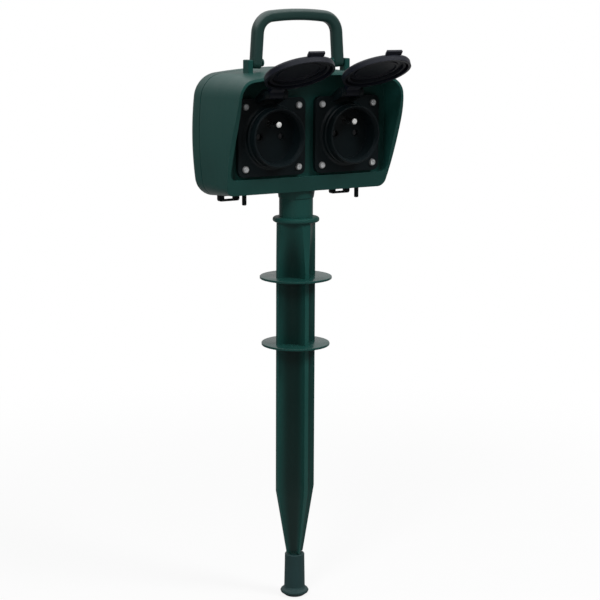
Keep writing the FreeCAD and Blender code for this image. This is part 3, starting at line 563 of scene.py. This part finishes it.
def spike_disc(name, node):
    """A thin plate with a soft rim whose hole follows the ribs."""
    low, high = (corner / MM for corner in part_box(node))
    inner = spike_ring(low.z, RIB_REACH + HOLE_GAP, FLUTE_ROOT + HOLE_GAP, RIB_ANGLE)
    middle = (low.z + high.z) / 2
    half = (high.z - low.z) / 2
    rings = [inner]
    for side in (-1, 1):
        for i in range(RIM_STEPS + 1):
            turn = math.pi / 2 * i / RIM_STEPS
            if side < 0:
                turn = math.pi / 2 - turn
            rise = side * (half - RIM_ROUND * (1 - math.sin(turn)))
            back = RIM_ROUND * (1 - math.cos(turn))
            rings.append(round_ring(inner, middle + rise, high.x - back))
    rings.append([(x, y, high.z * MM) for x, y, _ in inner])
    stand_in(skin(name, rings, wrap=True), green_smooth, node, "stand")


carry_handle()
ground_spike()
spike_disc("upper_plate", "upper_disc")
spike_disc("lower_plate", "lower_disc")


# Stage and light: sizes are in metres, and levels are shares of white
WHITE = (1, 1, 1, 1)
FLOOR_HALF = 6
FLOOR_SEEN = 0.85
FLOOR_BOUNCE = 0.36
FLOOR_REAR = (0.529, 0.848, 0.0)
FAR_SIDE = (0.45, 0.95)
FAR_LEVELS = (0.08, 0.70)
CLOSE_BY = (0.26, 0.45)
CLOSE_LEVEL = 0.30
SHADOW_RANGE = (0.3, 0.8)
SHADOW_GLOW = 0.87
STUDIO_TURN = math.radians(32.0)
BEHIND = (0.25, 0.90)
SWEEP = (0.04, 0.58)
ABOVE = (0.30, 0.60)
OVERHEAD = 1.25
ACROSS = (-0.6, 0.6)
AMBIENT = (0.10, 0.62)
LIGHT_AIM = Vector((0, 0, 0.1))


def mixed_shaders(tree, share, first, second):
    return add(tree, "MixShader", {0: share, 1: first, 2: second}).outputs["Shader"]


def floor_material():
    """White where the camera looks, with enough diffuse near the object to hold its shadow."""
    mat = bpy.data.materials.new("pale_floor")
    tree = emptied(mat)
    rays = add(tree, "LightPath").outputs
    at = add(tree, "TexCoord").outputs["Object"]
    length = vector_calc(tree, "LENGTH", {0: at})["Value"]
    unit = vector_calc(tree, "NORMALIZE", {0: at})["Vector"]
    facing = vector_calc(tree, "DOT_PRODUCT", {0: unit, 1: FLOOR_REAR})["Value"]
    far_side = smooth(tree, facing, *FAR_SIDE, *FAR_LEVELS)
    close_by = smooth(tree, length, *CLOSE_BY, CLOSE_LEVEL, 0.0)
    brighter = calc(tree, "MAXIMUM", far_side, close_by)
    mirrored = calc(tree, "MULTIPLY", brighter, rays["Is Glossy Ray"])
    bounce = smooth(tree, rays["Is Glossy Ray"], 0.0, 1.0, FLOOR_BOUNCE, 0.0)
    seen = calc(tree, "MULTIPLY", rays["Is Camera Ray"], FLOOR_SEEN)
    level = calc(tree, "MAXIMUM", calc(tree, "ADD", bounce, mirrored), seen)
    diffuse = add(tree, "BsdfDiffuse", {"Color": level}).outputs["BSDF"]
    glow = add(tree, "Emission", {"Color": WHITE, "Strength": 1.0}).outputs["Emission"]
    share = smooth(tree, length, *SHADOW_RANGE, SHADOW_GLOW, 1.0)
    white = calc(tree, "MULTIPLY", rays["Is Camera Ray"], share)
    add(tree, "OutputMaterial", {"Surface": mixed_shaders(tree, white, diffuse, glow)})
    return mat


def pale_floor(z):
    h = FLOOR_HALF
    mesh = bpy.data.meshes.new("floor")
    mesh.from_pydata([(-h, -h, z), (h, -h, z), (h, h, z), (-h, h, z)], [], [(0, 1, 2, 3)])
    mesh.materials.append(floor_material())
    obj = bpy.data.objects.new("floor", mesh)
    bpy.context.scene.collection.objects.link(obj)


def shade(tree, level):
    """A world background of strength 1 with a colour or a grey level."""
    return add(tree, "Background", {"Color": level, "Strength": 1.0}).outputs["Background"]


def studio():
    """The camera sees white, and reflections see a bright sweep behind, a bright ceiling and a dark room."""
    world = bpy.data.worlds.new("studio")
    bpy.context.scene.world = world
    tree = emptied(world)
    way = add(tree, "TexCoord").outputs["Generated"]
    turned = add(tree, "Mapping", {"Vector": way, "Rotation": (0, 0, STUDIO_TURN)}).outputs["Vector"]
    axis = add(tree, "SeparateXYZ", {"Vector": turned}).outputs
    behind = smooth(tree, axis["Y"], *BEHIND, *SWEEP)
    above = smooth(tree, axis["Z"], *ABOVE, 0.0, OVERHEAD)
    mirrored = calc(tree, "MAXIMUM", behind, above)
    soft = smooth(tree, axis["Y"], *ACROSS, *AMBIENT)
    rays = add(tree, "LightPath").outputs
    inner = mixed_shaders(tree, rays["Is Glossy Ray"], shade(tree, soft), shade(tree, mirrored))
    outer = mixed_shaders(tree, rays["Is Camera Ray"], inner, shade(tree, WHITE))
    add(tree, "OutputWorld", {"Surface": outer})


def softbox(name, place, size, power):
    """A round lamp aimed at the object, which reflections don't show."""
    data = bpy.data.lights.new(name, "AREA")
    data.shape = "DISK"
    data.size = size
    data.energy = power
    lamp = bpy.data.objects.new(name, data)
    bpy.context.scene.collection.objects.link(lamp)
    lamp.location = place
    lamp.rotation_euler = (LIGHT_AIM - Vector(place)).to_track_quat("-Z", "Y").to_euler()
    lamp.visible_glossy = False


pale_floor(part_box("tip_cap")[0].z)
studio()
softbox("left_light", (-1.20, -0.94, 1.35), size=0.7, power=15.5)
softbox("low_light", (-1.35, -0.95, 0.30), size=0.8, power=4.5)
softbox("right_light", (0.85, -1.15, 1.35), size=0.7, power=22.0)


# Camera: where the photograph was taken from, in mm, with its angles given in degrees
CAMERA_PLACE = (-649.34, -1047.65, 272.48)
CAMERA_YAW = math.radians(31.952)
CAMERA_PITCH = math.radians(10.864)
CAMERA_ROLL = math.radians(0.264)
CAMERA_LENS = 94.55
CAMERA_SENSOR = 36.0
CAMERA_CLIP = (0.05, 50.0)


def camera_turn():
    """The camera's own axes in the frame: level right and up, then rolled, and backward."""
    sin_yaw, cos_yaw = math.sin(CAMERA_YAW), math.cos(CAMERA_YAW)
    sin_pitch, cos_pitch = math.sin(CAMERA_PITCH), math.cos(CAMERA_PITCH)
    sin_roll, cos_roll = math.sin(CAMERA_ROLL), math.cos(CAMERA_ROLL)
    forward = Vector((sin_yaw * cos_pitch, cos_yaw * cos_pitch, -sin_pitch))
    right = Vector((cos_yaw, -sin_yaw, 0))
    up = Vector((sin_yaw * sin_pitch, cos_yaw * sin_pitch, cos_pitch))
    rolled_right = right * cos_roll + up * sin_roll
    rolled_up = up * cos_roll - right * sin_roll
    return Matrix((rolled_right, rolled_up, -forward)).transposed().to_4x4()


def photo_camera():
    data = bpy.data.cameras.new("photo_camera")
    data.sensor_width = CAMERA_SENSOR
    data.lens = CAMERA_LENS
    data.clip_start, data.clip_end = CAMERA_CLIP
    camera = bpy.data.objects.new("photo_camera", data)
    bpy.context.scene.collection.objects.link(camera)
    camera.matrix_world = Matrix.Translation(Vector(CAMERA_PLACE) * MM) @ camera_turn()
    bpy.context.scene.camera = camera


photo_camera()
bpy.context.scene.view_settings.view_transform = "Standard"
